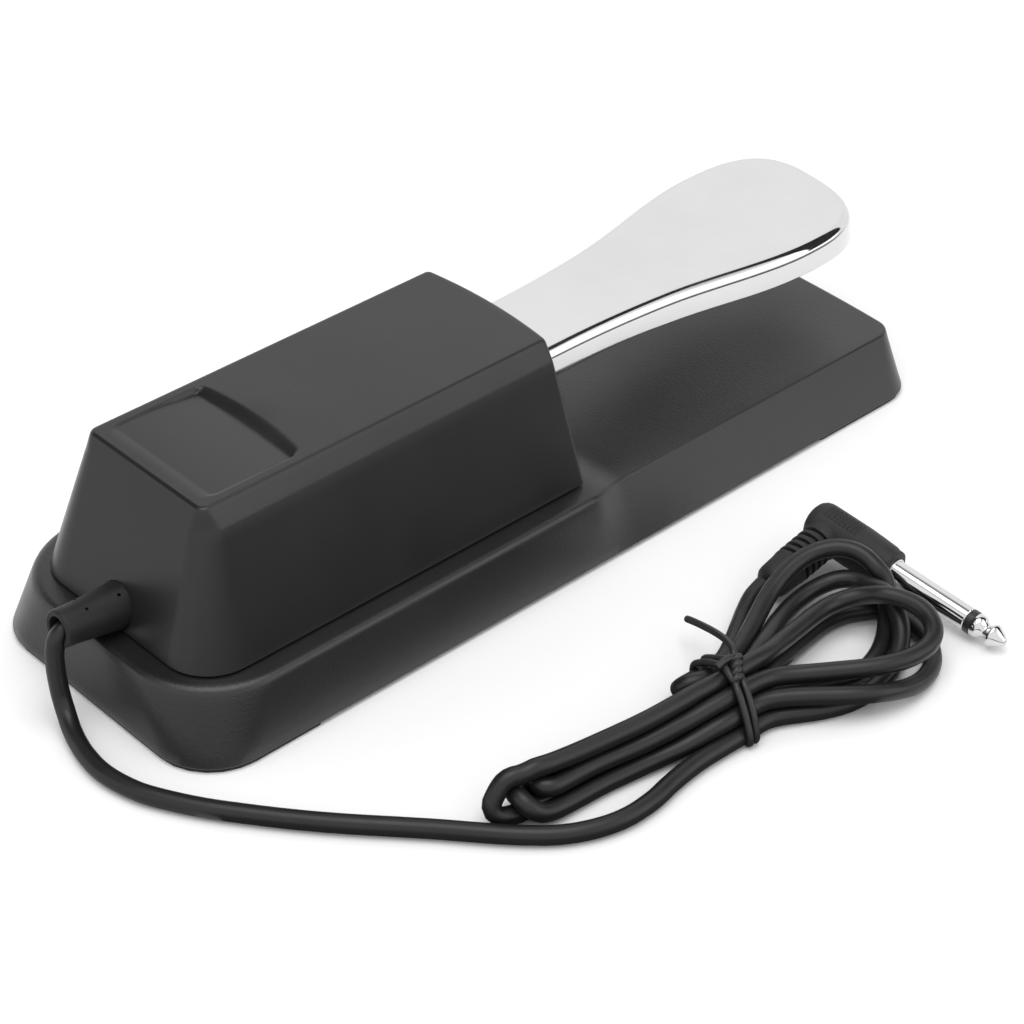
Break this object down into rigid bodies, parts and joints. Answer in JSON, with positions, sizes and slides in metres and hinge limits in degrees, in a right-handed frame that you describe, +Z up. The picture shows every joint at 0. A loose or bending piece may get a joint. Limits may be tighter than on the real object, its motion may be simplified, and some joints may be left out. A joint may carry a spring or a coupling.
{
  "type": "sustain pedal",
  "caption": "Keyboard sustain pedal: a chrome foot lever pivoted in a two-part black plastic case with a fixed cord and a right-angle jack plug.",
  "frame": {"origin": "on the floor under the middle of the pedal, its cord and plug left out", "axes": "X across the pedal, -Y towards the toe end of the lever, +Y towards the cord, +Z up from the floor"},
  "size_m": [0.1795, 0.2673, 0.0588],
  "materials": {
    "black_plastic": "satin black",
    "grained_plastic": "fine-grained matte black",
    "black_rubber": "matte black",
    "chrome": "polished",
    "zinc_steel": "zinc-plated",
    "nylon": "off-white",
    "board_green": "green laminate",
    "felt": "grey felt",
    "cord_vinyl": "satin black vinyl"
  },
  "bodies": {
    "case": {"base_housing": "grained_plastic", "bottom_plate": "zinc_steel", "front_rubber_pad": "black_rubber", "rear_rubber_pad": "black_rubber", "upper_cover": "black_plastic", "pivot_bracket": "zinc_steel", "pivot_shaft": "zinc_steel", "pivot_bush_left": "nylon", "pivot_bush_right": "nylon", "shaft_clip_left": "zinc_steel", "shaft_clip_right": "zinc_steel", "bracket_screw_front": "zinc_steel", "bracket_screw_rear": "zinc_steel", "return_spring": "zinc_steel", "spring_seat": "nylon", "upper_stop_pad": "felt", "lower_stop_pad": "black_rubber", "circuit_board": "board_green", "board_post_left": "nylon", "board_post_right": "nylon", "board_screw_left": "zinc_steel", "board_screw_right": "zinc_steel", "switch_body": "black_plastic", "inner_cord": "cord_vinyl", "cord_clamp": "black_plastic", "clamp_screw_left": "zinc_steel", "clamp_screw_right": "zinc_steel", "signal_wire": "cord_vinyl", "ground_wire": "cord_vinyl", "strain_relief": "black_rubber", "cord_lead": "cord_vinyl", "cord_tail": "cord_vinyl", "cord_hank": "cord_vinyl", "hank_tie": "black_rubber", "plug_boot": "black_rubber", "plug_sleeve": "chrome", "plug_tip": "chrome", "plug_insulator": "black_plastic", "plate_screw_1": "zinc_steel", "cover_screw_1": "zinc_steel", "plate_screw_2": "zinc_steel", "cover_screw_2": "zinc_steel", "plate_screw_3": "zinc_steel", "cover_screw_3": "zinc_steel", "plate_screw_4": "zinc_steel", "cover_screw_4": "zinc_steel"},
    "lever": {"pedal_lever": "chrome"},
    "plunger": {"switch_plunger": "nylon"}
  },
  "joints": [
    {"name": "pedal_pivot", "type": "hinge", "parent": "case", "child": "lever", "pos_m": [0, 0.072, 0.0437], "axis": [1, 0, 0], "range_deg": [0, 5], "stiffness_Nm_per_rad": 16, "springref_deg": -5.44, "deforming": ["return_spring"]},
    {"name": "plunger_slide", "type": "slide", "parent": "case", "child": "plunger", "axis": [0, 0, -1], "range_m": [0, 0.00195]}
  ],
  "couplings": [
    {"joint": "plunger_slide", "follows": "pedal_pivot", "m_per_rad": 0.022}
  ]
}
